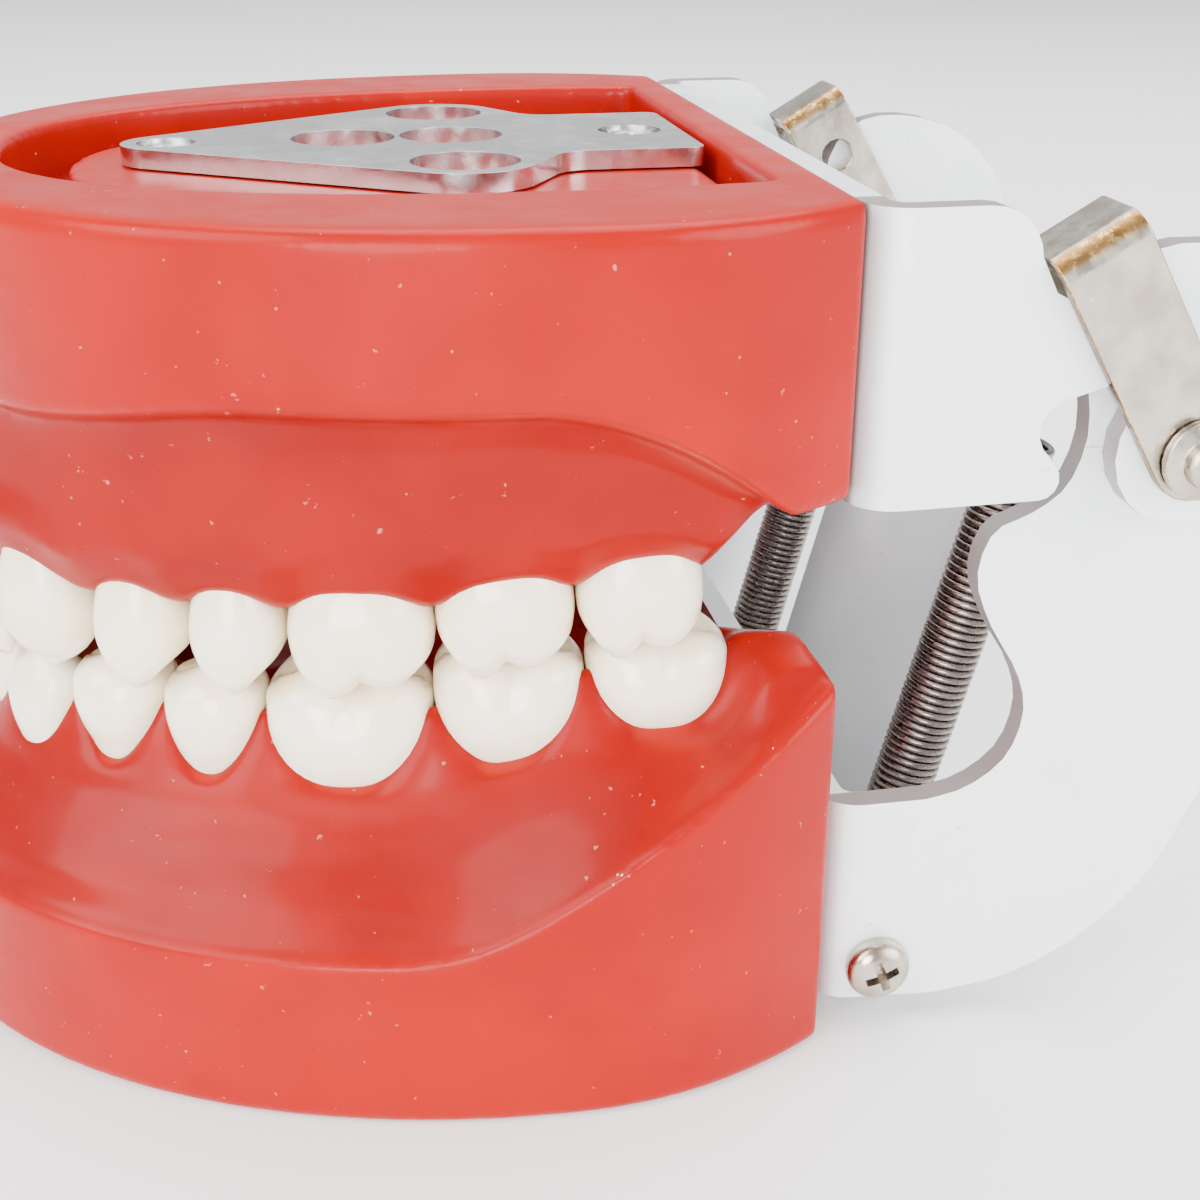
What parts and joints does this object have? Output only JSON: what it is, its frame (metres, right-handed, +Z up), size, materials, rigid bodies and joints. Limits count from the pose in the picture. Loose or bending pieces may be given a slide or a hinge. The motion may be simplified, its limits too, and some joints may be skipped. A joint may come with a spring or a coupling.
{
  "type": "typodont model",
  "caption": "Typodont: upper and lower gum bases with removable teeth, recessed mounting plates, and a rear hinge frame with locking clips and return springs.",
  "frame": {"origin": "centre of the footprint's bounding box, on the surface the lower base rests on", "axes": "+Z up, +Y towards the hinge frame at the rear, +X towards the model's own left"},
  "size_m": [0.077, 0.1071, 0.0643],
  "materials": {
    "gum": "glossy red-orange moulded resin",
    "tooth": "glossy cream melamine",
    "bracket": "satin, pale",
    "nickel": "polished nickel plate",
    "spring_steel": "drawn wire",
    "plate_steel": "bright, finely ground"
  },
  "bodies": {
    "lower_jaw": {"lower_gum_base": "gum", "lower_left_central_incisor": "tooth", "lower_left_lateral_incisor": "tooth", "lower_left_canine": "tooth", "lower_left_first_premolar": "tooth", "lower_left_second_premolar": "tooth", "lower_left_first_molar": "tooth", "lower_left_second_molar": "tooth", "lower_left_third_molar": "tooth", "lower_right_central_incisor": "tooth", "lower_right_lateral_incisor": "tooth", "lower_right_canine": "tooth", "lower_right_first_premolar": "tooth", "lower_right_second_premolar": "tooth", "lower_right_first_molar": "tooth", "lower_right_second_molar": "tooth", "lower_right_third_molar": "tooth", "lower_mounting_plate": "plate_steel", "lower_bracket": "bracket", "lower_plate_screw_front": "plate_steel", "lower_plate_screw_rear": "plate_steel", "lower_bracket_screw_left": "nickel", "lower_bracket_screw_right": "nickel", "lower_spring_rod": "nickel", "left_rod_screw": "nickel", "right_rod_screw": "nickel", "left_hinge_rivet": "nickel", "right_hinge_rivet": "nickel"},
    "upper_jaw": {"upper_gum_base": "gum", "upper_left_central_incisor": "tooth", "upper_left_lateral_incisor": "tooth", "upper_left_canine": "tooth", "upper_left_first_premolar": "tooth", "upper_left_second_premolar": "tooth", "upper_left_first_molar": "tooth", "upper_left_second_molar": "tooth", "upper_left_third_molar": "tooth", "upper_right_central_incisor": "tooth", "upper_right_lateral_incisor": "tooth", "upper_right_canine": "tooth", "upper_right_first_premolar": "tooth", "upper_right_second_premolar": "tooth", "upper_right_first_molar": "tooth", "upper_right_second_molar": "tooth", "upper_right_third_molar": "tooth", "upper_mounting_plate": "plate_steel", "upper_bracket": "bracket", "upper_plate_screw_front": "plate_steel", "upper_plate_screw_rear": "plate_steel", "upper_bracket_screw_left": "nickel", "upper_bracket_screw_right": "nickel", "upper_spring_rod": "nickel"},
    "left_clip": {"left_locking_clip": "nickel"},
    "right_clip": {"right_locking_clip": "nickel"},
    "spring_set": {"left_spring": "spring_steel", "right_spring": "spring_steel", "spring_guard": "bracket"},
    "spring_hooks": {"left_spring_hook": "spring_steel", "right_spring_hook": "spring_steel"}
  },
  "joints": [
    {"name": "jaw_hinge", "type": "hinge", "parent": "lower_jaw", "child": "upper_jaw", "pos_m": [0, 0.0403, 0.0466], "axis": [-1, 0, 0], "range_deg": [0, 60], "stiffness_Nm_per_rad": 0.015, "springref_deg": -68.75},
    {"name": "left_clip_hinge", "type": "hinge", "parent": "upper_jaw", "child": "left_clip", "pos_m": [0, 0.0403, 0.0466], "axis": [-1, 0, 0], "range_deg": [0, 60]},
    {"name": "right_clip_hinge", "type": "hinge", "parent": "upper_jaw", "child": "right_clip", "pos_m": [0, 0.0403, 0.0466], "axis": [-1, 0, 0], "range_deg": [0, 60]},
    {"name": "spring_swing", "type": "hinge", "parent": "lower_jaw", "child": "spring_set", "pos_m": [0, 0.0215, 0.0052], "axis": [-1, 0, 0], "range_deg": [0, 3.4]},
    {"name": "spring_stretch", "type": "slide", "parent": "spring_set", "child": "spring_hooks", "axis": [0, 0.2538, 0.9673], "range_m": [0, 0.0048]}
  ],
  "couplings": [
    {"joint": "spring_swing", "follows": "jaw_hinge", "ratio": 0.05333},
    {"joint": "spring_stretch", "follows": "jaw_hinge", "m_per_rad": 0.004297}
  ]
}
